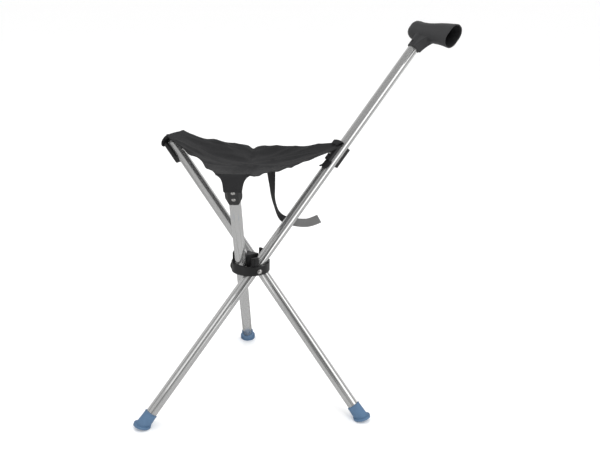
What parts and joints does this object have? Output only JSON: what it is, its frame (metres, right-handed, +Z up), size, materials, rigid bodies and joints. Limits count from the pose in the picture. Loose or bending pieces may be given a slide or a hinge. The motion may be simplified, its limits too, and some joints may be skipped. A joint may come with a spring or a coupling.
{
  "type": "folding seat cane",
  "caption": "Walking cane with a T handle whose crossed tubular legs open on a central hub into a stool with a three-cornered fabric sling.",
  "frame": {"origin": "middle of the footprint box on the floor, with the seat open", "axes": "+Z up; the cane leans towards +X and +Y by its azimuth of 30 degrees, and the front leg's top leans towards -Y"},
  "size_m": [0.5636, 0.4312, 0.6669],
  "materials": {
    "aluminium": "polished",
    "hub_plastic": "satin moulded",
    "bracket_plastic": "satin moulded",
    "grip_plastic": "fine matte texture",
    "steel": "nickel plated",
    "nylon": "natural nylon",
    "ferrule_rubber": "matte rubber",
    "sling_fabric": "woven nylon",
    "webbing": "woven webbing",
    "hook_tape": "hook tape"
  },
  "bodies": {
    "hub": {"hub_ring": "hub_plastic", "hub_core": "hub_plastic", "pivot_pin_cane": "steel", "pivot_pin_left": "steel", "pivot_pin_front": "steel", "pivot_washer_cane": "nylon", "pivot_washer_left": "nylon", "pivot_washer_front": "nylon"},
    "cane_leg": {"cane_tube": "aluminium", "pivot_bush_cane": "nylon", "ferrule_cane": "ferrule_rubber", "ferrule_disc_cane": "steel", "cane_plate_outer": "bracket_plastic", "cane_plate_inner": "bracket_plastic", "rivets_cane": "steel", "seat_corner_cane": "sling_fabric", "handle_grip": "grip_plastic", "handle_screw": "steel"},
    "left_leg": {"left_tube": "aluminium", "pivot_bush_left": "nylon", "ferrule_left": "ferrule_rubber", "ferrule_disc_left": "steel", "left_plate": "bracket_plastic", "rivets_left": "steel", "top_plug_left": "bracket_plastic", "seat_corner_left": "sling_fabric"},
    "front_leg": {"front_tube": "aluminium", "pivot_bush_front": "nylon", "ferrule_front": "ferrule_rubber", "ferrule_disc_front": "steel", "front_plate": "bracket_plastic", "rivets_front": "steel", "top_plug_front": "bracket_plastic", "seat_corner_front": "sling_fabric"},
    "cane_panel": {"seat_panel_cane": "sling_fabric"},
    "left_panel": {"seat_panel_left": "sling_fabric"},
    "front_panel": {"seat_panel_front": "sling_fabric"},
    "strap": {"wrap_strap": "webbing", "hook_tab": "hook_tape"}
  },
  "joints": [
    {"name": "cane_leg_fold", "type": "hinge", "parent": "hub", "child": "cane_leg", "pos_m": [-0.08464, -0.01939, 0.25266], "axis": [0.5, -0.866, 0], "range_deg": [0, 41.5], "deforming": ["seat_corner_cane"]},
    {"name": "left_leg_fold", "type": "hinge", "parent": "hub", "child": "left_leg", "pos_m": [-0.08464, -0.01939, 0.25266], "axis": [0.5, 0.866, 0], "range_deg": [0, 41.5], "deforming": ["seat_corner_left"]},
    {"name": "front_leg_fold", "type": "hinge", "parent": "hub", "child": "front_leg", "pos_m": [-0.08464, -0.01939, 0.25266], "axis": [-1, 0, 0], "range_deg": [0, 41.5], "deforming": ["seat_corner_front"]},
    {"name": "cane_panel_drop", "type": "hinge", "parent": "cane_leg", "child": "cane_panel", "pos_m": [0.07289, 0.05193, 0.46226], "axis": [0.5, -0.866, 0], "range_deg": [0, 34.1], "deforming": ["seat_panel_cane"]},
    {"name": "left_panel_drop", "type": "hinge", "parent": "left_leg", "child": "left_panel", "pos_m": [-0.22517, 0.08138, 0.46226], "axis": [0.5, 0.866, 0], "range_deg": [0, 34.1], "deforming": ["seat_panel_left"]},
    {"name": "front_panel_drop", "type": "hinge", "parent": "front_leg", "child": "front_panel", "pos_m": [-0.10164, -0.19147, 0.46226], "axis": [-1, 0, 0], "range_deg": [0, 34.1], "deforming": ["seat_panel_front"]},
    {"name": "strap_swing", "type": "hinge", "parent": "cane_panel", "child": "strap", "pos_m": [-0.04964, 0.01561, 0.43666], "axis": [0.5, -0.866, 0], "range_deg": [-75.6, 0], "deforming": ["wrap_strap", "hook_tab"]}
  ],
  "couplings": [
    {"joint": "left_leg_fold", "follows": "cane_leg_fold", "ratio": 1},
    {"joint": "front_leg_fold", "follows": "cane_leg_fold", "ratio": 1},
    {"joint": "cane_panel_drop", "follows": "cane_leg_fold", "ratio": 0.82},
    {"joint": "left_panel_drop", "follows": "cane_leg_fold", "ratio": 0.82},
    {"joint": "front_panel_drop", "follows": "cane_leg_fold", "ratio": 0.82},
    {"joint": "strap_swing", "follows": "cane_leg_fold", "ratio": -1.82}
  ]
}
